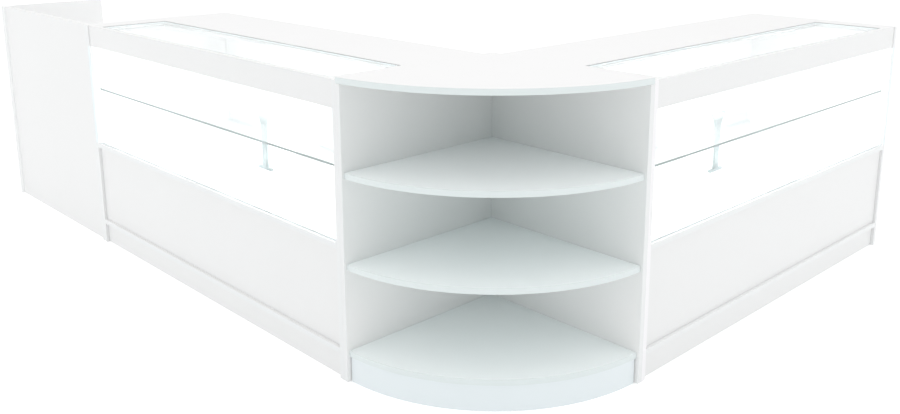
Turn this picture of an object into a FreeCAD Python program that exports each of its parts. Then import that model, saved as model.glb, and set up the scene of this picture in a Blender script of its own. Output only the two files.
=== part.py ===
import FreeCAD, Part
import math
import os

from FreeCAD import Vector

# An L-shaped shop counter made of flat-pack modules: two lit glass display counters that meet at a
# quarter-round open shelf unit, and a till desk at the far end of the left display counter.
# Millimetres, +Z up. The origin is on the floor, at the middle of the rectangle that the L fits in.
# Each module is worked out from the inner corner of the L, where the two display counters' backs meet.

# ---- Driving dimensions -------------------------------------------------------------------------

BOARD = 18.0             # melamine-faced board
EDGE_RADIUS = 1.0        # rounding of the banded edges
COUNTER_HEIGHT = 900.0
DEPTH = 618.0            # a display counter, rear to front edge of its end panels
WING_LENGTH = 1630.0
TILL_LENGTH = 940.0
TILL_DEPTH = 468.0

BOTTOM_TOP = 98.0        # top of every bottom board
DECK_TOP = 423.0         # floor of the glass display
SHELF_TOP = 646.0        # top of the glass shelf
FASCIA_BOTTOM = 817.0
STORAGE_SHELF_TOP = 258.0

FASCIA_RECESS = 4.0      # how far each front piece lies behind the end panels' front edges
BASE_RECESS = 10.0
PLINTH_RECESS = 12.0
GLASS_RECESS = 10.0
REAR_RECESS = 20.0       # shelves, divider and rear plinth, from the rear

WORKTOP_DEPTH = 333.0    # solid rear part of the top, behind the glass
OUTER_ARM = 83.0         # top board beside the glass, at the outer end
INNER_ARM = 35.0
LEDGE = 10.0             # what the top glass rests on, all round but the front
GLASS_FIT = 1.0          # gap round a pane
SHELF_GLASS = 8.0        # thickness of the top pane and of the shelf
FRONT_GLASS = 6.0
GROOVE_DEPTH_UP = 9.0    # the front pane is lifted into the fascia, then dropped into the deck
GROOVE_DEPTH_DOWN = 6.0
GROOVE_WIDTH = 7.0

RAIL_DEPTH = 36.0        # rear top rail
RAIL_HEIGHT = 44.0
DOOR = 6.0
CHANNEL = 8.0            # width of one door channel
TRACK_WALL = 2.0
UPPER_TRACK_HEIGHT = 16.0
LOWER_TRACK_HEIGHT = 9.0
TRACK_SETBACK = 8.0      # rear face of the tracks, from the rear
DOOR_OVERLAP = 40.0
DOOR_FLOAT = 0.6         # clearance under a door
DOOR_LIFT = 4.0          # clearance over a door, to lift it out of the lower track
PULL_RADIUS = 20.0
PULL_DEPTH = 3.0
PULL_INSET = 70.0
PULL_RISE = 210.0

LED_WIDTH = 16.0
LED_HEIGHT = 14.0
LED_WALL = 1.5
LED_END_GAP = 6.0
DIFFUSER = 2.0

SUPPORT_REAR = 340.0     # middle of the clear shelf support, from the rear
SUPPORT_HEAD = 80.0
SUPPORT_STEM = 24.0
SUPPORT_FLARE = 60.0
SUPPORT_FOOT = 8.0
SUPPORT_THICKNESS = 10.0

DRIVER_SIZE = (160.0, 46.0, 30.0)
DRIVER_INSET = 60.0
INLET_RADIUS = 4.0
INLET_DEPTH = 12.0

PIN_RADIUS = 2.5
PIN_IN_BOARD = 8.5
PIN_OUT = 9.0
PIN_CLEARANCE = 0.05
PIN_INSET = 60.0
SCREW_RADIUS = 3.0
SCREW_LENGTH = 30.0
SCREW_HEAD_RADIUS = 7.0
SCREW_HEAD = 2.5
SCREW_CLEARANCE = 0.1
SCREW_HEIGHTS = (150.0, 340.0)
SCREW_INSET = 90.0

CORNER_HEIGHT = 909.0
CORNER_TOP_MIDDLE = 600.0    # reach of the corner top along its diagonal
CORNER_SHELF_REACH = 610.0   # radius of the corner shelves
CORNER_PLINTH_REACH = 606.0
CORNER_PLINTH_BEND = 9.0     # bendy board, thinner than the flat ones
CORNER_PLINTH_GAP = 4.0
CORNER_SHELF_TOPS = {"corner_upper_shelf": 638.0, "corner_lower_shelf": 366.0,
                     "corner_bottom_board": BOTTOM_TOP}

TILL_DECK_TOP = 745.0

# ---- Worked out from them -----------------------------------------------------------------------

MIDDLE_X = (WING_LENGTH - DEPTH) / 2
MIDDLE_Y = (WING_LENGTH + TILL_LENGTH - DEPTH) / 2
TOP_UNDER = COUNTER_HEIGHT - BOARD
FASCIA_REAR = DEPTH - FASCIA_RECESS - BOARD
BASE_REAR = DEPTH - BASE_RECESS - BOARD
SPAN = (BOARD, WING_LENGTH - BOARD)
PANE_SPAN = (BOARD + INNER_ARM, WING_LENGTH - BOARD - OUTER_ARM)
DOOR_WIDTH = (SPAN[1] - SPAN[0] - 2 * GLASS_FIT + DOOR_OVERLAP) / 2
TRACK_DEPTH = 2 * CHANNEL + 3 * TRACK_WALL
SHELF_REAR = TRACK_SETBACK + TRACK_DEPTH + 15.0
SHELF_FRONT = DEPTH - GLASS_RECESS - FRONT_GLASS - 12.0
PIN_TOP = SHELF_TOP - SHELF_GLASS
WING_MIDDLE = WING_LENGTH / 2


# ---- Placing: u runs along a wing from the corner, v from its rear to its front, z up ------------

def right_place(u, v, z):
    return Vector(u - MIDDLE_X, -v - MIDDLE_Y, z)


def left_place(u, v, z):
    return Vector(-v - MIDDLE_X, u - MIDDLE_Y, z)


def corner_place(x, y, z):
    return Vector(x - MIDDLE_X, y - MIDDLE_Y, z)


WINGS = {"left": left_place, "right": right_place}


def block(place, us, vs, zs):
    """A square-edged block between the low and high u, v and z."""
    a = place(us[0], vs[0], zs[0])
    b = place(us[1], vs[1], zs[1])
    low = Vector(min(a.x, b.x), min(a.y, b.y), min(a.z, b.z))
    return Part.makeBox(abs(b.x - a.x), abs(b.y - a.y), abs(b.z - a.z), low)


def board(place, us, vs, zs, radius=EDGE_RADIUS):
    """A block with its edges slightly rounded."""
    body = block(place, us, vs, zs)
    return body.makeFillet(radius, body.Edges)


def rod(place, start, step, radius):
    """A round rod from start, where step is its length along u, v or z."""
    a = place(*start)
    b = place(*[p + s for p, s in zip(start, step)])
    along = b.sub(a)
    return Part.makeCylinder(radius, along.Length, a, along)


def joined(shapes):
    """One solid from pieces that touch or overlap."""
    body = shapes[0].fuse(shapes[1:])
    return body.removeSplitter()


def save(name, shape):
    shape.exportStep("parts/" + name + ".step")


# ---- Fasteners, gathered while the boards are drilled for them ------------------------------------

pins = []
screws = []


def pin_holes(place, panel_face, side, top, vs):
    """Drills a panel whose face is at u = panel_face and adds a pin in each hole.

    side is +1 where the shelf lies towards higher u, and -1 where it lies towards lower u.
    """
    holes = []
    for v in vs:
        z = top - PIN_RADIUS
        start = (panel_face - side * PIN_IN_BOARD, v, z)
        holes.append(rod(place, start, (side * PIN_IN_BOARD, 0, 0), PIN_RADIUS + PIN_CLEARANCE))
        pins.append(rod(place, start, (side * (PIN_IN_BOARD + PIN_OUT), 0, 0), PIN_RADIUS))
    return holes


def screw_holes(place, face, side):
    """The screws that pull a module's panel against its neighbour, and the holes they need.

    face is the u of the panel's inner face, and side the way along u that the screws point.
    """
    holes = []
    for v in (DEPTH - TILL_DEPTH + SCREW_INSET, DEPTH - SCREW_INSET):
        for z in SCREW_HEIGHTS:
            head = (face - side * SCREW_HEAD, v, z)
            shank = (face, v, z)
            screw = joined([rod(place, head, (side * SCREW_HEAD, 0, 0), SCREW_HEAD_RADIUS),
                            rod(place, shank, (side * SCREW_LENGTH, 0, 0), SCREW_RADIUS)])
            screws.append(screw)
            length = side * (SCREW_LENGTH + SCREW_CLEARANCE)
            holes.append(rod(place, shank, (length, 0, 0), SCREW_RADIUS + SCREW_CLEARANCE))
    return holes


# ---- A display counter ----------------------------------------------------------------------------

def glass_shelf_pin_vs():
    return (SHELF_REAR + PIN_INSET, SHELF_FRONT - PIN_INSET)


def storage_pin_vs():
    return (REAR_RECESS + PIN_INSET, BASE_REAR - 2 * PIN_INSET)


def end_panels(side, place):
    """The two gables, drilled for shelf pins and for the screws to the neighbouring modules."""
    ends = (("inner", 0.0, BOARD, 1), ("outer", WING_LENGTH - BOARD, WING_LENGTH, -1))
    for end, low, high, inward in ends:
        face = high if inward > 0 else low
        panel = board(place, (low, high), (0, DEPTH), (0, COUNTER_HEIGHT))
        holes = pin_holes(place, face, inward, PIN_TOP, glass_shelf_pin_vs())
        holes += pin_holes(place, face, inward, STORAGE_SHELF_TOP - BOARD, storage_pin_vs())
        if end == "inner" or side == "left":
            holes += screw_holes(place, face, -inward)
        save(side + "_" + end + "_end_panel", panel.cut(holes))


def carcass(side, place):
    """The boards between the gables, from the floor up to the display deck."""
    middle = (WING_MIDDLE - BOARD / 2, WING_MIDDLE + BOARD / 2)
    floor_zs = (0, BOTTOM_TOP - BOARD)
    save(side + "_bottom_board", board(place, SPAN, (0, DEPTH), (BOTTOM_TOP - BOARD, BOTTOM_TOP)))
    plinth_front = DEPTH - PLINTH_RECESS
    save(side + "_front_plinth", board(place, SPAN, (plinth_front - BOARD, plinth_front), floor_zs))
    save(side + "_rear_plinth", board(place, SPAN, (REAR_RECESS, REAR_RECESS + BOARD), floor_zs))
    storage_zs = (BOTTOM_TOP, DECK_TOP - BOARD)
    save(side + "_base_front_panel", board(place, SPAN, (BASE_REAR, BASE_REAR + BOARD), storage_zs))
    divider = board(place, middle, (REAR_RECESS, BASE_REAR), storage_zs)
    holes = pin_holes(place, middle[0], -1, STORAGE_SHELF_TOP - BOARD, storage_pin_vs())
    holes += pin_holes(place, middle[1], 1, STORAGE_SHELF_TOP - BOARD, storage_pin_vs())
    save(side + "_storage_divider", divider.cut(holes))
    shelf_vs = (REAR_RECESS, BASE_REAR - PIN_INSET)
    shelf_zs = (STORAGE_SHELF_TOP - BOARD, STORAGE_SHELF_TOP)
    shelves = [board(place, (SPAN[0] + GLASS_FIT, middle[0] - GLASS_FIT), shelf_vs, shelf_zs),
               board(place, (middle[1] + GLASS_FIT, SPAN[1] - GLASS_FIT), shelf_vs, shelf_zs)]
    save(side + "_storage_shelves", Part.makeCompound(shelves))
    deck = board(place, SPAN, (0, DEPTH), (DECK_TOP - BOARD, DECK_TOP))
    save(side + "_deck_board", deck.cut(glass_groove(place, DECK_TOP - GROOVE_DEPTH_DOWN, DECK_TOP)))


def glass_groove(place, low, high):
    """The slot that an edge of the front pane stands in."""
    front = DEPTH - GLASS_RECESS + (GROOVE_WIDTH - FRONT_GLASS) / 2
    return block(place, SPAN, (front - GROOVE_WIDTH, front), (low, high))


def top(side, place):
    """Fascia, cut-out top board with its ledge, top pane, rear rail and lighting channel."""
    fascia = board(place, SPAN, (FASCIA_REAR, FASCIA_REAR + BOARD), (FASCIA_BOTTOM, COUNTER_HEIGHT))
    groove = glass_groove(place, FASCIA_BOTTOM, FASCIA_BOTTOM + GROOVE_DEPTH_UP)
    save(side + "_front_fascia", fascia.cut(groove))

    zs = (TOP_UNDER, COUNTER_HEIGHT)
    rear = block(place, SPAN, (0, WORKTOP_DEPTH + LEDGE), zs)
    inner_arm = block(place, (SPAN[0], PANE_SPAN[0] + LEDGE), (0, FASCIA_REAR), zs)
    outer_arm = block(place, (PANE_SPAN[1] - LEDGE, SPAN[1]), (0, FASCIA_REAR), zs)
    worktop = joined([rear, inner_arm, outer_arm])
    worktop = worktop.makeFillet(EDGE_RADIUS, worktop.Edges)
    pane_zs = (COUNTER_HEIGHT - SHELF_GLASS, COUNTER_HEIGHT)
    save(side + "_top_board", worktop.cut(block(place, PANE_SPAN, (WORKTOP_DEPTH, DEPTH), pane_zs)))
    pane_us = (PANE_SPAN[0] + GLASS_FIT, PANE_SPAN[1] - GLASS_FIT)
    pane_vs = (WORKTOP_DEPTH + GLASS_FIT, FASCIA_REAR - GLASS_FIT)
    save(side + "_top_glass", board(place, pane_us, pane_vs, pane_zs))

    rail_zs = (TOP_UNDER - RAIL_HEIGHT, TOP_UNDER)
    save(side + "_rear_rail", board(place, SPAN, (0, RAIL_DEPTH), rail_zs))

    led_us = (PANE_SPAN[0] + LEDGE + LED_END_GAP, PANE_SPAN[1] - LEDGE - LED_END_GAP)
    led_top = COUNTER_HEIGHT - SHELF_GLASS
    led_vs = (FASCIA_REAR - LED_WIDTH, FASCIA_REAR)
    bar = block(place, led_us, led_vs, (led_top - LED_HEIGHT, led_top))
    trough = block(place, led_us, (led_vs[0] + LED_WALL, led_vs[1] - LED_WALL),
                   (led_top - LED_HEIGHT, led_top - LED_WALL))
    save(side + "_led_profile", bar.cut(trough))
    cover_vs = (led_vs[0] + LED_WALL, led_vs[1] - LED_WALL)
    save(side + "_led_diffuser", block(place, led_us, cover_vs,
                                       (led_top - LED_HEIGHT, led_top - LED_HEIGHT + DIFFUSER)))


def display(side, place):
    """Front pane, glass shelf and the clear T-shaped support under the middle of the shelf."""
    pane_front = DEPTH - GLASS_RECESS
    save(side + "_front_glass", board(place, (SPAN[0] + GLASS_FIT, SPAN[1] - GLASS_FIT),
                                      (pane_front - FRONT_GLASS, pane_front),
                                      (DECK_TOP - GROOVE_DEPTH_DOWN,
                                       FASCIA_BOTTOM + GROOVE_DEPTH_UP / 2)))
    save(side + "_glass_shelf", board(place, (SPAN[0] + GLASS_FIT, SPAN[1] - GLASS_FIT),
                                      (SHELF_REAR, SHELF_FRONT), (PIN_TOP, SHELF_TOP)))
    save(side + "_shelf_support", shelf_support(place))


def shelf_support(place):
    """A T cut from a clear plate: an arc on each side opens the stem into the head."""
    rear = SUPPORT_REAR - SUPPORT_THICKNESS / 2
    half_head = SUPPORT_HEAD / 2
    half_stem = SUPPORT_STEM / 2
    turn = math.acos(1 - (half_head - half_stem) / SUPPORT_FLARE)
    flare_top = PIN_TOP - SUPPORT_FOOT
    flare_low = flare_top - SUPPORT_FLARE * math.sin(turn)

    def point(across, z):
        return place(WING_MIDDLE + across, rear, z)

    def flare(sign):
        mid_across = half_stem + SUPPORT_FLARE * (1 - math.cos(turn / 2))
        mid_z = flare_low + SUPPORT_FLARE * math.sin(turn / 2)
        return Part.Arc(point(sign * half_stem, flare_low), point(sign * mid_across, mid_z),
                        point(sign * half_head, flare_top)).toShape()

    def half(sign):
        foot = [(half_head, DECK_TOP), (half_head, DECK_TOP + SUPPORT_FOOT),
                (half_stem, DECK_TOP + SUPPORT_FOOT), (half_stem, flare_low)]
        corners = [point(sign * across, z) for across, z in foot]
        lines = [Part.makeLine(a, b) for a, b in zip(corners, corners[1:])]
        head_side = Part.makeLine(point(sign * half_head, flare_top), point(sign * half_head, PIN_TOP))
        return lines + [flare(sign), head_side]

    ends = [Part.makeLine(point(-half_head, z), point(half_head, z)) for z in (DECK_TOP, PIN_TOP)]
    outline = Part.Wire(Part.__sortEdges__(half(1) + half(-1) + ends))
    thick = place(0, SUPPORT_THICKNESS, 0).sub(place(0, 0, 0))
    return Part.Face(outline).extrude(thick)


def channel(place, low, high, opening_low, opening_high):
    """A double channel for the two doors, with its web at the closed side."""
    body = block(place, SPAN, (TRACK_SETBACK, TRACK_SETBACK + TRACK_DEPTH), (low, high))
    slots = []
    for lane in range(2):
        rear = TRACK_SETBACK + TRACK_WALL + lane * (CHANNEL + TRACK_WALL)
        slots.append(block(place, SPAN, (rear, rear + CHANNEL), (opening_low, opening_high)))
    return body.cut(slots)


def doors(side, place):
    """Two sliding doors across the back of the display, each in its own channel."""
    rail_under = TOP_UNDER - RAIL_HEIGHT
    upper = (rail_under - UPPER_TRACK_HEIGHT, rail_under)
    lower = (DECK_TOP, DECK_TOP + LOWER_TRACK_HEIGHT)
    save(side + "_upper_door_track", channel(place, *upper, upper[0], upper[1] - TRACK_WALL))
    save(side + "_lower_door_track", channel(place, *lower, lower[0] + TRACK_WALL, lower[1]))

    zs = (DECK_TOP + TRACK_WALL + DOOR_FLOAT, upper[1] - TRACK_WALL - DOOR_LIFT)
    outer_end = SPAN[1] - GLASS_FIT
    inner_end = SPAN[0] + GLASS_FIT
    lanes = (("outer", 0, outer_end - DOOR_WIDTH, outer_end, outer_end - PULL_INSET),
             ("inner", 1, inner_end, inner_end + DOOR_WIDTH, inner_end + PULL_INSET))
    for name, lane, low, high, pull_u in lanes:
        rear = TRACK_SETBACK + TRACK_WALL + lane * (CHANNEL + TRACK_WALL) + (CHANNEL - DOOR) / 2
        leaf = board(place, (low, high), (rear, rear + DOOR), zs)
        pull = rod(place, (pull_u, rear, DECK_TOP + PULL_RISE), (0, PULL_DEPTH, 0), PULL_RADIUS)
        save(side + "_" + name + "_door", leaf.cut(pull))


def led_driver(side, place):
    """The sealed supply of the light bar, screwed up under the deck at the staff side."""
    length, depth, height = DRIVER_SIZE
    u = SPAN[1] - DRIVER_INSET - length
    top_z = DECK_TOP - BOARD
    body = board(place, (u, u + length), (REAR_RECESS, REAR_RECESS + depth), (top_z - height, top_z))
    inlet = rod(place, (u + length / 4, REAR_RECESS, top_z - height / 2), (0, INLET_DEPTH, 0),
                INLET_RADIUS)
    save(side + "_led_driver", body.cut(inlet))


# ---- Corner unit ----------------------------------------------------------------------------------

def quadrant(inset, end_reach, middle_reach, zs):
    """A quarter-round board whose square corner is inset from both backs of the L."""
    low, high = zs
    across = middle_reach / math.sqrt(2)
    square = corner_place(-inset, -inset, low)
    first = corner_place(-end_reach, -inset, low)
    second = corner_place(-inset, -end_reach, low)
    curve = Part.Arc(first, corner_place(-across, -across, low), second).toShape()
    outline = Part.Wire([Part.makeLine(square, first), curve, Part.makeLine(second, square)])
    body = Part.Face(outline).extrude(Vector(0, 0, high - low))
    return body.makeFillet(EDGE_RADIUS, body.Edges)


def corner_unit():
    panel_zs = (0, CORNER_HEIGHT - BOARD)
    left = board(left_place, (-BOARD, 0), (0, DEPTH), panel_zs)
    right = board(right_place, (-BOARD, 0), (BOARD, DEPTH), panel_zs)
    save("corner_left_panel", left.cut(screws))
    save("corner_right_panel", right.cut(screws))
    save("corner_top", quadrant(0, DEPTH, CORNER_TOP_MIDDLE, (CORNER_HEIGHT - BOARD, CORNER_HEIGHT)))
    shelf_end = math.sqrt(CORNER_SHELF_REACH ** 2 - BOARD ** 2)
    for name, shelf_top in CORNER_SHELF_TOPS.items():
        save(name, quadrant(BOARD, shelf_end, CORNER_SHELF_REACH, (shelf_top - BOARD, shelf_top)))
    height = BOTTOM_TOP - BOARD
    axis_foot = corner_place(0, 0, 0)
    outside = Part.makeCylinder(CORNER_PLINTH_REACH, height, axis_foot)
    inside = Part.makeCylinder(CORNER_PLINTH_REACH - CORNER_PLINTH_BEND, height, axis_foot)
    clear = -BOARD - CORNER_PLINTH_GAP
    size = DEPTH + clear
    quarter = Part.makeBox(size, size, height, corner_place(-DEPTH, -DEPTH, 0))
    save("corner_plinth", outside.cut(inside).common(quarter))


# ---- Till desk ------------------------------------------------------------------------------------

def till_desk():
    place = left_place
    low, high = WING_LENGTH, WING_LENGTH + TILL_LENGTH
    vs = (DEPTH - TILL_DEPTH, DEPTH)
    full = (0, COUNTER_HEIGHT)
    inner_us = (low, low + BOARD)
    save("till_inner_side", board(place, inner_us, vs, full).cut(screws))
    save("till_outer_side", board(place, (high - BOARD, high), vs, full))
    between = (low + BOARD, high - BOARD)
    save("till_front_panel", board(place, between, (BASE_REAR, BASE_REAR + BOARD), full))
    for name, board_top in (("till_deck", TILL_DECK_TOP), ("till_bottom_board", BOTTOM_TOP)):
        save(name, board(place, between, (vs[0], BASE_REAR), (board_top - BOARD, board_top)))


def build():
    os.makedirs("parts", exist_ok=True)
    for side, place in WINGS.items():
        end_panels(side, place)
        carcass(side, place)
        top(side, place)
        display(side, place)
        doors(side, place)
        led_driver(side, place)
    corner_unit()
    till_desk()
    save("shelf_pins", Part.makeCompound(pins))
    save("unit_screws", Part.makeCompound(screws))


build()
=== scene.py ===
# %% [markdown]
# # An L-shaped shop counter
#
# The counter is a set of flat-pack modules: two lit glass display counters, an open quarter-round
# shelf unit where they meet, and a till desk. Almost everything is a flat board or a flat pane, so the
# frame from the CAD model already has the right shapes. What is left for Blender is the finish of each
# board and pane, the few pieces that are curved or too small for the frame, and the light.
#
# This first cell loads the frame. Every CAD node sits at the origin with its place in its mesh, in
# metres, so new pieces are built straight into the same coordinates.

# %% Load the frame
import math

import bmesh
import bpy
import numpy as np
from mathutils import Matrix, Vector


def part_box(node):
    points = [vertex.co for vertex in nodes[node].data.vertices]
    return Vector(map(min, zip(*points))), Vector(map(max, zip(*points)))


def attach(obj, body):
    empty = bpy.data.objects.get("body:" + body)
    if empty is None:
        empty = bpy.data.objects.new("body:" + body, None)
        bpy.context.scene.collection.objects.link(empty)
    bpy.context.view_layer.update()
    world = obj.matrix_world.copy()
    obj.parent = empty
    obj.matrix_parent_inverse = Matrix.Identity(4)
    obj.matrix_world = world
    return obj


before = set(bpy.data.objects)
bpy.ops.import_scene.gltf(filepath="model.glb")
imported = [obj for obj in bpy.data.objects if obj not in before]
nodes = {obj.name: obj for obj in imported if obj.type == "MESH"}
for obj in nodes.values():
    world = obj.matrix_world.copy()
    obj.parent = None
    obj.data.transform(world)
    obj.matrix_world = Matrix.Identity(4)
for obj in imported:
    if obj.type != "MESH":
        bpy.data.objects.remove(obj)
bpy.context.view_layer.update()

# %% [markdown]
# The sizes that more than one step below needs are read from the frame rather than typed in, so the
# looks follow the model if its sizes change. The left wing runs along +Y and the right one along +X,
# so one table with "along" and one with "across" let each step be written once for both.

# %% Sizes read from the frame
MM = 0.001
deck_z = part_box("right_deck_board")[1].z
counter_top_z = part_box("right_top_board")[1].z
display_heights = (deck_z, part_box("right_front_fascia")[0].z)
SIDES = ("left", "right")
ALONG = {"left": "y", "right": "x"}
ACROSS = {"left": "x", "right": "y"}
print("top at", round(counter_top_z, 3), "display from", [round(height, 3) for height in display_heights])

# %% [markdown]
# Shader maths reads best as plain expressions. `Value` wraps one output socket: adding, subtracting,
# multiplying or raising it adds the Math node that does it, and `1 - mask` works too.
# `Finish` owns one material. Its single `node` method makes any other node from a type, its settings
# and what goes into its sockets.

# %% Shader helpers
class Value:
    """One number that varies over a surface: an output socket, with arithmetic."""

    def __init__(self, tree, socket):
        self.tree = tree
        self.socket = socket

    def maths(self, operation, *terms):
        node = self.tree.nodes.new("ShaderNodeMath")
        node.operation = operation
        for socket, term in zip(node.inputs, terms):
            feed(self.tree, socket, term)
        return Value(self.tree, node.outputs[0])

    def __add__(self, other):
        return self.maths("ADD", self, other)

    def __sub__(self, other):
        return self.maths("SUBTRACT", self, other)

    def __rsub__(self, other):
        return self.maths("SUBTRACT", other, self)

    def __mul__(self, other):
        return self.maths("MULTIPLY", self, other)

    def __pow__(self, other):
        return self.maths("POWER", self, other)

    def __abs__(self):
        return self.maths("ABSOLUTE", self)

    __radd__ = __add__
    __rmul__ = __mul__


def feed(tree, socket, term):
    """Links a Value to a socket, or sets the socket to a plain number or colour."""
    if isinstance(term, Value):
        tree.links.new(term.socket, socket)
    else:
        socket.default_value = term


class Finish:
    """A material built from nodes, ending in whatever shader is given to `show`.

    `owner` is the new material, or anything else that has nodes, such as the world."""

    def __init__(self, name, kind="materials", output="OutputMaterial"):
        self.owner = getattr(bpy.data, kind).new(name)
        self.owner.use_nodes = True
        self.tree = self.owner.node_tree
        self.tree.nodes.clear()
        self.output = output

    def node(self, kind, settings=None, sockets=None, out=0):
        node = self.tree.nodes.new("ShaderNode" + kind)
        for key, setting in (settings or {}).items():
            setattr(node, key, setting)
        for key, term in (sockets or {}).items():
            feed(self.tree, node.inputs[key], term)
        return None if out is None else Value(self.tree, node.outputs[out])

    def place(self):
        """Object coordinates: metres in the row's frame, because every piece sits at the origin."""
        return self.node("TexCoord", out="Object")

    def stretched(self, scale):
        """The same coordinates, scaled per axis before a texture reads them."""
        return self.node("Mapping", None, {"Vector": self.place(), "Scale": scale})

    def noise(self, vector, scale, detail=2.0, roughness=0.5):
        sockets = {"Vector": vector, "Scale": scale, "Detail": detail, "Roughness": roughness}
        return self.node("TexNoise", None, sockets, out="Fac")

    def ramp(self, value, low, high, to_low=0.0, to_high=1.0):
        """value from low to high becomes to_low to to_high, smoothly, and stays inside them."""
        sockets = {"Value": value, "From Min": low, "From Max": high, "To Min": to_low, "To Max": to_high}
        return self.node("MapRange", {"interpolation_type": "SMOOTHSTEP"}, sockets)

    def mix(self, factor, first, second):
        sockets = {0: factor, 6: first, 7: second}
        return self.node("Mix", {"data_type": "RGBA"}, sockets, out=2)

    def facing(self, axis):
        """1 on faces square to the axis ("x", "y" or "z"), 0 on the narrow edges round them."""
        normal = self.node("TexCoord", out="Normal")
        part = self.node("SeparateXYZ", None, {"Vector": normal}, out="xyz".index(axis))
        return abs(part)

    def bump(self, height, distance, strength=1.0):
        return self.node("Bump", None, {"Height": height, "Distance": distance, "Strength": strength})

    def plastic(self, sockets):
        return self.node("BsdfPrincipled", None, sockets)

    def height(self):
        """How far above the floor, in metres."""
        return self.node("SeparateXYZ", None, {"Vector": self.place()}, out="Z")

    def show(self, shader):
        self.node(self.output, None, {"Surface": shader}, out=None)
        return self.owner


def rgb(red, green, blue):
    return (red, green, blue, 1.0)


def darker(colour, share):
    return rgb(*[part * share for part in colour[:3]])


print("shader helpers:", Value.__name__, Finish.__name__)

# %% [markdown]
# ## White melamine board
#
# The boards are chipboard with a white melamine face. Up close the face isn't flat: it is pressed
# with a fine pearl texture about a millimetre across, and it picks up slightly shinier patches where
# it is wiped. The narrow edges carry a separate plastic band, a touch cooler and smoother than the face,
# and a hair-thin glue line shows where the two meet. One function makes the finish for boards whose
# broad faces point along a given axis, because that axis is what tells face from edge.
#
# Two things vary with height. The lower walls of the corner unit are a little paler, for the light
# that a white floor throws back into them. The front edges of the outer gables are paler and bluer
# beside the display, where its light runs along the pane into them.

# %% White melamine board
WHITE_FACE = rgb(0.872, 0.868, 0.868)
# Painted shade: boards that stand upright get a darker white than the tops, for the lesser light on
# upright faces.
SHADED_UPRIGHT_FACE = rgb(0.797, 0.793, 0.793)
WHITE_EDGE = rgb(0.795, 0.800, 0.803)
# Painted light: narrow edges that face up or down get a paler tone, as lit as the tops.
LEVEL_EDGE_PAINTED_LIGHT = rgb(0.905, 0.905, 0.905)     # an edge that lies level with the tops
BESIDE_DISPLAY = rgb(0.80, 0.855, 0.875)
GLUE_LINE = rgb(0.66, 0.67, 0.67)
GLUE_SHOWS = 0.3
WIPED_WHITE = rgb(0.80, 0.80, 0.79)
WIPED_SHOWS = 0.05
PEARL_SCALE = 620.0                     # about 1.6 mm between bumps
PEARL_HEIGHT = 0.06 * MM
WIPE_SCALE = 3.2                        # wiped patches about 30 cm across
BOARD_SHINE = 0.42
LOW_WALL = (0.15, 0.50)                 # heights between which low_colour gives way


def melamine(name, axis, face_colour=WHITE_FACE, edge_colour=WHITE_EDGE, low_colour=None,
             lit_heights=None):
    """Pearl-textured faces square to the axis, and a smooth band on the edges.

    low_colour is the face colour near the floor, and lit_heights is where the edges are lit."""
    finish = Finish(name + "_" + axis)
    face = finish.facing(axis)
    if low_colour is not None:
        face_colour = finish.mix(finish.ramp(finish.height(), *LOW_WALL), low_colour, face_colour)
    if lit_heights is not None:
        low, high = lit_heights
        lit = finish.ramp(finish.height(), low, low + MM) - finish.ramp(finish.height(), high - MM, high)
        edge_colour = finish.mix(lit, edge_colour, BESIDE_DISPLAY)
    if axis != "z":
        # Painted light: edges that lie level are given the paler, lit tone.
        edge_colour = finish.mix(finish.ramp(finish.facing("z"), 0.5, 0.9), edge_colour, LEVEL_EDGE_PAINTED_LIGHT)
    on_face = finish.ramp(face, 0.90, 0.99)
    seam = finish.ramp(face, 0.55, 0.75) * (1 - finish.ramp(face, 0.93, 0.99))
    pearl = finish.noise(finish.place(), PEARL_SCALE, detail=1.0)
    wiped = finish.noise(finish.stretched((1.0, 1.0, 1.6)), WIPE_SCALE, detail=4.0, roughness=0.6)
    tone = finish.mix(on_face, edge_colour, face_colour)
    tone = finish.mix(seam * GLUE_SHOWS, tone, GLUE_LINE)
    tone = finish.mix(finish.ramp(wiped, 0.35, 0.65) * WIPED_SHOWS, tone, WIPED_WHITE)
    rough = 0.34 + on_face * finish.ramp(wiped, 0.3, 0.7, 0.05, 0.12) + pearl * 0.03
    bump = finish.bump(pearl * on_face, PEARL_HEIGHT)
    shader = finish.plastic({"Base Color": tone, "Roughness": rough, "Normal": bump,
                             "Specular IOR Level": BOARD_SHINE})
    return finish.show(shader)


BOARD_FINISH = {"z": melamine("white_melamine", "z"),
                "x": melamine("white_melamine", "x", SHADED_UPRIGHT_FACE),
                "y": melamine("white_melamine", "y", SHADED_UPRIGHT_FACE)}
print("board finishes:", [finish.name for finish in BOARD_FINISH.values()])

# %% [markdown]
# ## Doors, metal and moulded plastic
#
# The sliding doors are thin board with a sprayed satin lacquer, finer and shinier than melamine. Their
# tracks and the light bar's channel are extruded aluminium, whose fine lines run along the bar because
# that is how it left the die; the pins, screws and finger pulls are nickel-plated steel. The driver
# hidden under each deck has a spark-eroded plastic case. Each is one function, because they differ in
# what makes the texture: sprayed droplets, drawn lines or small round cells.

# %% Doors, driver, metal
PEEL_HEIGHT = 0.04 * MM
LINE_HEIGHT = 0.03 * MM
GRAIN_HEIGHT = 0.1 * MM


def lacquer(name, colour, grain):
    """Satin lacquer on thin board: finer orange peel than melamine and a little more shine."""
    finish = Finish(name)
    peel = finish.noise(finish.place(), grain, detail=2.0)
    drift = finish.noise(finish.place(), 2.1, detail=3.0)
    tone = finish.mix(finish.ramp(drift, 0.3, 0.7) * 0.06, colour, rgb(0.78, 0.79, 0.79))
    shader = finish.plastic({"Base Color": tone, "Roughness": 0.27 + drift * 0.08 + peel * 0.03,
                             "Normal": finish.bump(peel, PEEL_HEIGHT)})
    return finish.show(shader)


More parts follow.
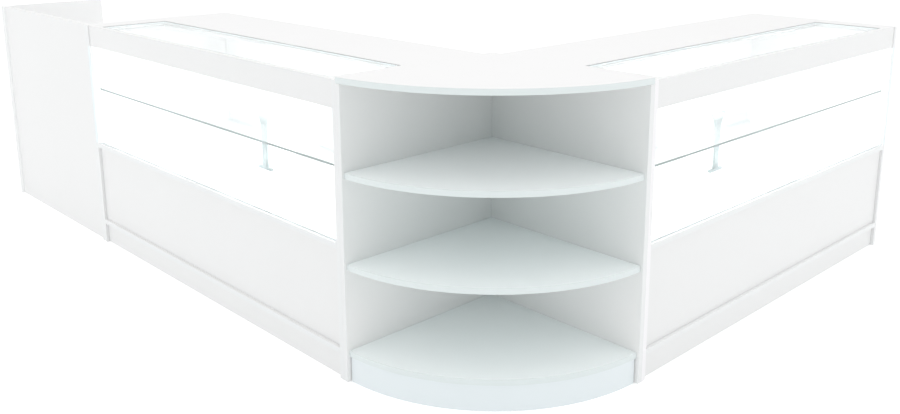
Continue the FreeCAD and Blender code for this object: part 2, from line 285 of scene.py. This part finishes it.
def brushed(name, colour, roughness, stretch):
    """Metal with fine lines along one direction: noise squeezed across the grain."""
    finish = Finish(name)
    lines = finish.noise(finish.stretched(stretch), 90.0, detail=3.0, roughness=0.7)
    haze = finish.noise(finish.place(), 6.0, detail=2.0)
    tone = finish.mix(lines * 0.3, colour, darker(colour, 0.8))
    shader = finish.plastic({"Base Color": tone, "Metallic": 1.0,
                             "Roughness": roughness + lines * 0.10 + haze * 0.05,
                             "Normal": finish.bump(lines, LINE_HEIGHT)})
    return finish.show(shader)


def moulded(name, colour, grain, roughness):
    """Spark-eroded plastic: small rounded cells."""
    finish = Finish(name)
    cells = finish.node("TexVoronoi", {"feature": "SMOOTH_F1"},
                        {"Vector": finish.place(), "Scale": grain}, out="Distance")
    haze = finish.noise(finish.place(), 14.0, detail=2.0)
    tone = finish.mix(haze * 0.15, colour, darker(colour, 0.85))
    shader = finish.plastic({"Base Color": tone, "Roughness": roughness + haze * 0.08,
                             "Normal": finish.bump(cells, GRAIN_HEIGHT)})
    return finish.show(shader)


ALUMINIUM = rgb(0.80, 0.81, 0.82)
DOOR_FINISH = lacquer("white_door_lacquer", rgb(0.86, 0.865, 0.865), 900.0)
TRACK_FINISH = {"left": brushed("satin_aluminium_left", ALUMINIUM, 0.30, (40.0, 1.0, 40.0)),
                "right": brushed("satin_aluminium_right", ALUMINIUM, 0.30, (1.0, 40.0, 40.0))}
STEEL_FINISH = brushed("nickel_steel", rgb(0.72, 0.70, 0.66), 0.24, (30.0, 30.0, 30.0))
DRIVER_FINISH = moulded("driver_case_plastic", rgb(0.74, 0.75, 0.75), 800.0, 0.5)
print("made:", DOOR_FINISH.name, TRACK_FINISH["left"].name, STEEL_FINISH.name, DRIVER_FINISH.name)

# %% [markdown]
# ## Glass
#
# A pane is seen twice: broad faces that are almost invisible, and polished edges that gather the
# green of the whole sheet. Real refraction through a flat pane only shifts what is behind it by a few
# millimetres, and costs a lot of noise, so the faces are a Transparent shader with a mirror-like
# Glossy mixed in by Schlick's rule: 4% straight on, rising with the fifth power towards grazing. The
# edges, and the rounded arrises beside them, are an opaque rim: dark green along the glass shelf, and
# pale where the light bar shines in. The clear support under the shelf is acrylic, a little milky.

# %% Glass panes
CLEAR = rgb(0.990, 0.998, 0.997)
GREEN_EDGE = rgb(0.25, 0.29, 0.28)      # thick glass seen edge on
LIT_EDGE = rgb(0.84, 0.91, 0.92)        # an edge that the light bar shines into
PANE_END = rgb(0.62, 0.66, 0.69)        # the front pane's ends, each in the shade of a gable
# Painted shadow: the top of a let-in pane's rim is painted dark, for the shade in the joint round it.
JOINT_SHADOW = rgb(0.10, 0.10, 0.10)             # the dark joint round a let-in pane
JOINT = 3.2 * MM                        # how deep that joint shows
JOINT_SOFT = 0.4 * MM
SMEAR = 0.012                           # how far finger marks blur a reflection
STRAIGHT_ON = 0.04                      # share of light a pane mirrors when seen straight on
ACRYLIC = rgb(0.28, 0.315, 0.32)


def pane(name, axis, clear, edge, glow=0.0, joint_height=None, dark_axis=None, milk=0.0):
    """Clear faces and an opaque rim.

    Where joint_height is given, the rim is painted dark above it, a painted shadow standing for the
    joint. Where dark_axis is given, the rim has its edge colour only where it is square to that axis, and
    is lit elsewhere. milk is how much of the face shows the rim's colour instead of what is behind."""
    finish = Finish(name)
    grazing = finish.node("LayerWeight", None, {"Blend": 0.5}, out="Facing")
    mirror = STRAIGHT_ON + (grazing ** 5.0) * (1 - STRAIGHT_ON)
    wiped = finish.noise(finish.stretched((1.0, 1.0, 3.0)), 5.0, detail=5.0, roughness=0.65)
    gloss = finish.node("BsdfAnisotropic", None, {"Color": rgb(1.0, 1.0, 1.0), "Roughness": SMEAR})
    through = finish.node("BsdfTransparent", None, {"Color": clear})
    face = finish.node("MixShader", None, {0: mirror * finish.ramp(wiped, 0.2, 0.8, 0.75, 1.0),
                                           1: through, 2: gloss})
    depth_tone = finish.noise(finish.place(), 40.0, detail=2.0)
    tone = finish.mix(depth_tone * 0.35, edge, darker(edge, 0.82))
    if dark_axis is not None:
        tone = finish.mix(finish.ramp(finish.facing(dark_axis), 0.5, 0.9), LIT_EDGE, tone)
    if joint_height is not None:
        above = finish.ramp(finish.height(), joint_height - JOINT_SOFT, joint_height + JOINT_SOFT)
        tone = finish.mix(above, tone, JOINT_SHADOW)
    # The rim's emission is painted light: each rim glows in its own edge colour, for the display's light
    # carried into the edge.
    rim = finish.plastic({"Base Color": tone, "Roughness": 0.12, "IOR": 1.52,
                          "Emission Color": edge, "Emission Strength": glow})
    on_face = finish.ramp(finish.facing(axis), 0.80, 0.95) * (1.0 - milk)
    return finish.show(finish.node("MixShader", None, {0: on_face, 1: rim, 2: face}))


SHELF_GLASS_FINISH = {axis: pane("clear_shelf_glass_" + axis, "z", CLEAR, GREEN_EDGE,
                                 dark_axis=axis) for axis in "xy"}
TOP_GLASS_FINISH = pane("clear_top_glass", "z", CLEAR, LIT_EDGE, 0.3, counter_top_z - JOINT)
FRONT_GLASS_FINISH = {axis: pane("clear_front_glass_" + axis, axis, CLEAR, PANE_END, 0.65,
                                 dark_axis=run) for axis, run in ("xy", "yx")}
ACRYLIC_FINISH = {axis: pane("clear_acrylic_" + axis, axis, rgb(0.90, 0.98, 0.99), ACRYLIC, 0.25,
                             milk=0.80) for axis in "xy"}
print("made:", SHELF_GLASS_FINISH["x"].name, TOP_GLASS_FINISH.name, FRONT_GLASS_FINISH["x"].name,
      ACRYLIC_FINISH["x"].name)

# %% [markdown]
# ## Light bar
#
# Behind the opal cover sits a row of small lamps. The cover glows evenly, with a slight brightening
# over each lamp, so the emission is one cool white, raised a little by a sine along the bar.

# %% Lit diffuser
LAMP_PITCH = 16.6 * MM
OPAL_GLOW = 5.0


def opal(name, along):
    """A glow that rises and falls once per lamp: 1/2 + 1/2 sin(2 pi distance / pitch)."""
    finish = Finish(name)
    position = finish.node("SeparateXYZ", None, {"Vector": finish.place()}, out="xyz".index(along))
    wave = position.maths("SINE", position * (2 * math.pi / LAMP_PITCH)) * 0.5 + 0.5
    glow = finish.mix(wave, rgb(0.80, 0.90, 1.0), rgb(0.95, 0.99, 1.0))
    shader = finish.plastic({"Base Color": rgb(0.9, 0.92, 0.93), "Roughness": 0.4,
                             "Emission Color": glow, "Emission Strength": OPAL_GLOW})
    return finish.show(shader)


DIFFUSER_FINISH = {"left": opal("lit_diffuser_left", "y"), "right": opal("lit_diffuser_right", "x")}
print("made:", [finish.name for finish in DIFFUSER_FINISH.values()])

# %% [markdown]
# ## Which board faces which way
#
# In each wing, gables face along the wing, fronts face across it, and everything flat faces up. So a
# node's name and its wing say which finish it gets. The till's sides and the inner gables have their
# own tones, painted light that stands for how much more or less of the room they catch than the boards
# beside them.

# %% Give every CAD node its finish
FRONTS = ("front_plinth", "rear_plinth", "base_front_panel", "front_fascia", "rear_rail")
FLATS = ("bottom_board", "deck_board", "top_board", "storage_shelves")
# Painted light: the till's outer side and the right inner gable's edges are paler than the boards beside
# them.
LIT_TILL_SIDE = rgb(0.965, 0.965, 0.965)
INNER_GABLE_EDGE = {"left": WHITE_EDGE, "right": rgb(0.875, 0.86, 0.875)}


def dress(node, material):
    mesh = nodes[node].data
    mesh.materials.clear()
    mesh.materials.append(material)


for side in SIDES:
    dress(side + "_storage_divider", BOARD_FINISH[ALONG[side]])
    dress(side + "_inner_end_panel", melamine("inner_gable", ALONG[side], SHADED_UPRIGHT_FACE,
                                              INNER_GABLE_EDGE[side]))
    dress(side + "_outer_end_panel", melamine("outer_gable", ALONG[side], SHADED_UPRIGHT_FACE,
                                              lit_heights=display_heights))
    for part in FRONTS:
        dress(f"{side}_{part}", BOARD_FINISH[ACROSS[side]])
    for part in FLATS:
        dress(f"{side}_{part}", BOARD_FINISH["z"])
    for part in ("outer_door", "inner_door"):
        dress(f"{side}_{part}", DOOR_FINISH)
    for part in ("upper_door_track", "lower_door_track", "led_profile"):
        dress(f"{side}_{part}", TRACK_FINISH[side])
    dress(side + "_top_glass", TOP_GLASS_FINISH)
    dress(side + "_glass_shelf", SHELF_GLASS_FINISH[ACROSS[side]])
    dress(side + "_front_glass", FRONT_GLASS_FINISH[ACROSS[side]])
    dress(side + "_shelf_support", ACRYLIC_FINISH[ACROSS[side]])
    dress(side + "_led_diffuser", DIFFUSER_FINISH[side])
    dress(side + "_led_driver", DRIVER_FINISH)

dress("till_inner_side", BOARD_FINISH["y"])
dress("till_outer_side", melamine("till_side", "y", LIT_TILL_SIDE))
dress("till_front_panel", BOARD_FINISH["x"])
for part in ("deck", "bottom_board"):
    dress("till_" + part, BOARD_FINISH["z"])
for part in ("shelf_pins", "unit_screws"):
    dress(part, STEEL_FINISH)
print("dressed:", sum(node.data.materials[0].use_nodes for node in nodes.values()), "of", len(nodes))

# %% [markdown]
# ## The quarter-round corner unit
#
# Its two side panels are plain boards, but the three shelves are quarter rounds with a thicker edge
# band glued round the curve, and the plinth is a bent board. The shelves face up, so the flat-board
# finish suits them. The plinth gets a wrapped finish, where only its top and bottom are cut edges,
# because neither row axis tells face from edge on a curve.

# %% Corner shelves and plinth
# Painted shade: the corner unit's walls are darker and cooler than other uprights, for the shade inside
# the unit.
SHADED_CORNER_WALL = rgb(0.785, 0.795, 0.79)
LOW_CORNER_WALL = rgb(0.88, 0.87, 0.865)
# Painted light: the corner shelves get a paler, cooler face than boards elsewhere, for the light falling
# into the unit.
LIT_CORNER_SHELF = rgb(0.925, 0.970, 0.970)
# Painted shade: the curved shelf edges get a darker, cooler tone, for the weaker light on faces turned to
# the outer corner.
SHADED_CORNER_BAND = rgb(0.725, 0.775, 0.775)
# Painted shade: the curved plinth gets a darker, cooler tone, for the weaker light on faces turned to the
# outer corner.
SHADED_CORNER_PLINTH = rgb(0.775, 0.82, 0.84)
WIPED_PLINTH = rgb(0.72, 0.75, 0.76)

for part in ("top", "upper_shelf", "lower_shelf", "bottom_board"):
    face = WHITE_FACE if part == "top" else LIT_CORNER_SHELF
    dress("corner_" + part, melamine("corner_melamine_" + part, "z", face, SHADED_CORNER_BAND))
for side in SIDES:
    wall = melamine(f"corner_{side}_wall", ALONG[side], SHADED_CORNER_WALL, low_colour=LOW_CORNER_WALL)
    dress(f"corner_{side}_panel", wall)


def bent_board():
    """The board finish for a wall that curves: every upright face is a broad face."""
    finish = Finish("white_bent_board")
    cut = finish.ramp(finish.facing("z"), 0.6, 0.9)
    pearl = finish.noise(finish.place(), PEARL_SCALE, detail=1.0)
    wiped = finish.noise(finish.stretched((1.0, 1.0, 4.0)), WIPE_SCALE * 2, detail=4.0)
    tone = finish.mix(cut, SHADED_CORNER_PLINTH, WHITE_EDGE)
    tone = finish.mix(finish.ramp(wiped, 0.35, 0.65) * WIPED_SHOWS, tone, WIPED_PLINTH)
    shader = finish.plastic({"Base Color": tone, "Roughness": 0.36 + wiped * 0.12 + pearl * 0.03,
                             "Normal": finish.bump(pearl, PEARL_HEIGHT),
                             "Specular IOR Level": BOARD_SHINE})
    return finish.show(shader)


dress("corner_plinth", bent_board())
bare = [name for name, node in nodes.items() if not node.data.materials[0].use_nodes]
print("nodes still without a finish:", bare)

# %% [markdown]
# ## Finger pulls
#
# Each sliding door is pulled by a round cup pressed into its face. The frame has the pocket for it.
# The cup is a spun steel dish: a flat floor, a rounded wall and a thin lip that lies in the mouth of the
# pocket. A dish is one profile turned about its own axis, so it is a single surface of two
# parameters, how far along the profile and how far round.

# %% Turned profiles
TURNS = 48


def turned(name, profile, centre, axis, turns=TURNS):
    """A profile of (radius, height) points carried once round an axis.

    Point (i, j) sits at angle 2 pi j / turns, at the profile's radius i from the axis and at
    its height i along the axis. The profile starts and ends on the axis, which closes it."""
    radius, height = np.array(profile, float).T
    angle = np.linspace(0.0, 2 * np.pi, turns, endpoint=False)
    ring = np.stack([np.outer(radius, np.cos(angle)), np.outer(radius, np.sin(angle)),
                     np.repeat(height[:, None], turns, 1)], axis=-1)
    spin = {"x": (1, 2, 0), "y": (2, 0, 1), "z": (0, 1, 2)}[axis]
    points = np.empty_like(ring)
    points[..., spin[0]] = ring[..., 0]
    points[..., spin[1]] = ring[..., 1]
    points[..., spin[2]] = ring[..., 2]
    points += np.array(centre)
    return grid_mesh(name, points)


def grid_mesh(name, points):
    """Quads between neighbouring points of a grid that closes in its second direction.

    Rings of no radius are merged into one point, so poles are closed."""
    rows, turns = points.shape[:2]
    row, column = np.meshgrid(np.arange(rows - 1), np.arange(turns), indexing="ij")
    after = (column + 1) % turns
    quads = np.stack([row * turns + column, row * turns + after,
                      (row + 1) * turns + after, (row + 1) * turns + column], axis=-1)
    mesh = bpy.data.meshes.new(name)
    mesh.from_pydata(points.reshape(-1, 3), [], quads.reshape(-1, 4).tolist())
    tidy_mesh(mesh)
    piece = bpy.data.objects.new(name, mesh)
    bpy.context.scene.collection.objects.link(piece)
    return piece


def tidy_mesh(mesh):
    """Merges doubled points and turns every face outwards."""
    work = bmesh.new()
    work.from_mesh(mesh)
    bmesh.ops.remove_doubles(work, verts=work.verts, dist=1e-6)
    bmesh.ops.dissolve_degenerate(work, edges=work.edges, dist=1e-7)
    bmesh.ops.recalc_face_normals(work, faces=work.faces)
    work.to_mesh(mesh)
    work.free()
    mesh.shade_smooth()
    mesh.update()


print("steps round a turned piece:", TURNS)

# %% [markdown]
# The dish's own profile has four stretches: the flat floor, a quarter of an ellipse up the wall, a
# half-round lip, and the straight back. Its lip lies just below the door's face, so the dish clears
# the other door when the two slide past each other. Each dish rides on its own door.

# %% Finger-pull dishes
PULL_INSET = 70 * MM        # from the door's outer end to the middle of the pocket
PULL_RADIUS = 19.9 * MM     # the pocket's radius is 20 mm
PULL_DEPTH = 2.9 * MM       # the pocket is 3 mm deep
PULL_HEIGHT = deck_z + 210 * MM
PULL_WALL = 0.5 * MM
LIP = 0.9 * MM
LIP_DROP = 0.3 * MM         # how far the lip lies below the door's face
SWEEP = 4.5 * MM            # how far in the rounded wall reaches
CREASE = math.radians(50)   # edges sharper than this stay sharp


def dish_profile():
    """Flat floor, a quarter-ellipse wall, a rounded lip, then straight back under the dish."""
    rise = np.linspace(0.0, np.pi / 2, 10)
    wall_in = PULL_RADIUS - LIP
    wall_radius = wall_in - SWEEP + SWEEP * np.sin(rise)
    wall_height = -LIP_DROP - (PULL_DEPTH - PULL_WALL - LIP_DROP) * np.cos(rise)
    lip = np.linspace(np.pi, 0.0, 9)
    lip_radius = wall_in + LIP / 2 + LIP / 2 * np.cos(lip)
    lip_height = -LIP_DROP + 0.25 * MM * np.sin(lip)
    radius = np.concatenate([[0.0], wall_radius, lip_radius, [PULL_RADIUS, 0.0]])
    height = np.concatenate([[wall_height[0]], wall_height, lip_height, [-PULL_DEPTH, -PULL_DEPTH]])
    return np.stack([radius, height], axis=1)


def door_dish(side, lane):
    """The dish of one door, riding on that door's own body."""
    door = f"{side}_{lane}_door"
    low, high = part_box(door)
    run = ALONG[side]
    end, inward = (getattr(high, run), -1) if lane == "outer" else (getattr(low, run), 1)
    centre = {"z": PULL_HEIGHT, run: end + inward * PULL_INSET, ACROSS[side]: getattr(high, ACROSS[side])}
    dish = turned(door + "_pull", dish_profile(), [centre[k] for k in "xyz"], ACROSS[side])
    dish.data.set_sharp_from_angle(angle=CREASE)
    dish.data.materials.append(STEEL_FINISH)
    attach(dish, door)
    return dish


dishes = [door_dish(side, lane) for side in SIDES for lane in ("outer", "inner")]
print("dishes:", [dish.name for dish in dishes])

# %% [markdown]
# ## The room
#
# The counter stands in a plain white room with soft light from everywhere, so the only shading comes
# from how much of the room each surface sees. The floor runs far beyond the counter, as a shallow
# disc with its edge out of sight, and glows very slightly so that it stays white under the counter.
# It is the same turned surface as a dish, with a flat profile.

# %% Floor
FLOOR_RADIUS = 70.0
FLOOR_GLOW = 0.25


def floor_disc():
    """Rings of radius R (i / n) ** 3, dense near the middle, all at height zero."""
    rings = FLOOR_RADIUS * np.linspace(0.0, 1.0, 16) ** 3
    profile = np.stack([rings, np.zeros_like(rings)], axis=1)
    return turned("floor", profile, (0.0, 0.0, 0.0), "z", turns=64)


def floor_finish():
    finish = Finish("studio_floor")
    speck = finish.noise(finish.place(), 30.0, detail=4.0)
    tone = finish.mix(speck, rgb(0.90, 0.90, 0.90), rgb(0.92, 0.92, 0.92))
    shader = finish.plastic({"Base Color": tone, "Roughness": 0.9, "Specular IOR Level": 0.1,
                             "Emission Color": rgb(1.0, 1.0, 1.0), "Emission Strength": FLOOR_GLOW})
    return finish.show(shader)


floor = floor_disc()
floor.data.materials.append(floor_finish())
floor_up = floor.data.polygons[0].normal.z
print("floor faces up:", floor_up > 0)

# %% [markdown]
# The room itself is the world colour, even and white, and a little dimmer and cooler on the side from
# which the counter is seen. One broad lamp overhead lifts the tops above the upright faces, and a weak
# one beyond each end makes the fronts fade slightly towards the corner.

# %% Light
def lamp(name, place, target, size, power, colour=(1.0, 1.0, 1.0)):
    """A rectangular lamp at a place, turned to face a target."""
    data = bpy.data.lights.new(name, "AREA")
    data.shape = "RECTANGLE"
    data.size, data.size_y = size
    data.energy = power
    data.color = colour
    lamp_object = bpy.data.objects.new(name, data)
    lamp_object.location = place
    aim = Vector(target) - Vector(place)
    lamp_object.rotation_euler = aim.to_track_quat("-Z", "Y").to_euler()
    bpy.context.scene.collection.objects.link(lamp_object)
    return lamp_object


LOW_LIGHT = rgb(0.76, 0.76, 0.76)        # level with the counter
HIGH_LIGHT = rgb(1.06, 1.06, 1.06)       # overhead
FRONT_LIGHT = rgb(0.59, 0.70, 0.71)      # the side of the room the counter is seen from


def room():
    """White walls that brighten upwards, dimmer and cooler towards the outer corner of the L."""
    sky = Finish("white_room", "worlds", "OutputWorld")
    direction = sky.node("TexCoord", out="Generated")
    upward = sky.node("SeparateXYZ", None, {"Vector": direction}, out="Z")
    front = sky.node("VectorMath", {"operation": "DOT_PRODUCT"},
                     {0: direction, 1: (-0.707, -0.707, 0.0)}, out="Value")
    walls = sky.mix(sky.ramp(front, 0.45, 1.0), LOW_LIGHT, FRONT_LIGHT)
    colour = sky.mix(sky.ramp(upward, 0.15, 0.65), walls, HIGH_LIGHT)
    return sky.show(sky.node("Background", None, {"Color": colour, "Strength": 1.0}))


bpy.context.scene.world = room()
overhead = lamp("overhead", (-0.3, -0.5, 3.6), (0.0, 0.0, 0.0), (4.5, 4.5), 16.0)
end_lamps = [lamp("left_end_lamp", (-3.4, 1.9, 1.5), (-1.0, 1.3, 0.5), (2.0, 2.0), 6.0),
             lamp("right_end_lamp", (1.5, -3.9, 1.5), (0.9, -1.4, 0.5), (2.0, 2.0), 5.5)]
print("lamps:", overhead.name, [end_lamp.name for end_lamp in end_lamps])

# %% [markdown]
# The displays are the brightest part. A strip lamp along each light bar throws its light on the shelf,
# the deck and the doors behind them. In a white box like this most of the light is bounced light, and
# it takes many bounces to fill the far corners, so three weak, unseen lamps stand in for it.

# %% Display light
STRIP_POWER = 2.8
FRONT_FILL_POWER = 3.4
END_FILL_POWER = 2.2
STRIP_DROP = 1.5 * MM       # how far the strip hangs below the opal cover
STRIP_WIDTH = 10 * MM
PANE_GAP = 20 * MM          # from the front pane to the lamp behind it
FILL_SHIFT = 100 * MM       # from the display's middle to the lamps that face its ends
FILL_WIDTH = 500 * MM
LIT = (0.96, 0.99, 1.0)


def display_lamps(side):
    """A strip under the light bar's opal cover, and three soft lamps for the light that bounces inside.

    One fill lamp covers the front pane and faces the doors. Two more face the display's ends from
    either side of its middle. None of the three shows."""
    turn = 0.0 if ALONG[side] == "x" else -math.pi / 2
    bar_low, bar_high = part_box(side + "_led_diffuser")
    length = max(bar_high.x - bar_low.x, bar_high.y - bar_low.y)
    bar = (bar_low + bar_high) / 2
    pane_low, pane_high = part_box(side + "_front_glass")
    pane = (pane_low + pane_high) / 2
    deck_low, deck_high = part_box(side + "_deck_board")
    middle = (deck_low + deck_high) / 2
    middle.z = pane.z
    inward = Vector((0.0, 1.0, 0.0)) if side == "right" else Vector((1.0, 0.0, 0.0))
    onward = Vector((1.0, 0.0, 0.0)) if side == "right" else Vector((0.0, 1.0, 0.0))
    tall = pane_high.z - pane_low.z
    strip = lamp(side + "_strip", (bar.x, bar.y, bar_low.z - STRIP_DROP), bar * 0.0,
                 (length, STRIP_WIDTH), STRIP_POWER, LIT)
    strip.rotation_euler = (0.0, 0.0, turn)
    front_fill = lamp(side + "_front_fill", pane + inward * PANE_GAP, pane, (length, tall),
                      FRONT_FILL_POWER, LIT)
    front_fill.rotation_euler = (math.pi / 2, 0.0, turn)
    fills = [front_fill]
    for name, way in (("outer", onward), ("inner", -onward)):
        start = middle + way * FILL_SHIFT
        fills.append(lamp(f"{side}_{name}_fill", start, start + way, (FILL_WIDTH, tall),
                          END_FILL_POWER, LIT))
    for fill in fills:
        fill.visible_camera = False
        fill.visible_glossy = False
    return [strip] + fills


display_light = [lit.name for side in SIDES for lit in display_lamps(side)]
print("display light:", display_light)

# %% [markdown]
# ## Camera
#
# The counter is seen from in front of its outer corner, a little above the tops. The lens is a
# moderate one, and the small shifts move the view in its frame without tilting the camera further.

# %% Camera and the last lines
EYE = (-2.638, -3.037, 1.379)
HEADING = 45.72             # degrees from +X towards +Y
TILT = -13.07               # degrees below level
LENS = 37.70                # mm, on a sensor 36 mm wide
SHIFT = (-0.0163, -0.0979)

camera_data = bpy.data.cameras.new("camera")
camera_data.sensor_width = 36.0
camera_data.lens = LENS
camera_data.shift_x, camera_data.shift_y = SHIFT
camera_data.clip_end = 200.0
camera = bpy.data.objects.new("camera", camera_data)
camera.location = EYE
camera.rotation_euler = (math.radians(90 + TILT), 0.0, math.radians(HEADING - 90))
bpy.context.scene.collection.objects.link(camera)
bpy.context.scene.camera = camera
bpy.context.scene.view_settings.view_transform = "Standard"
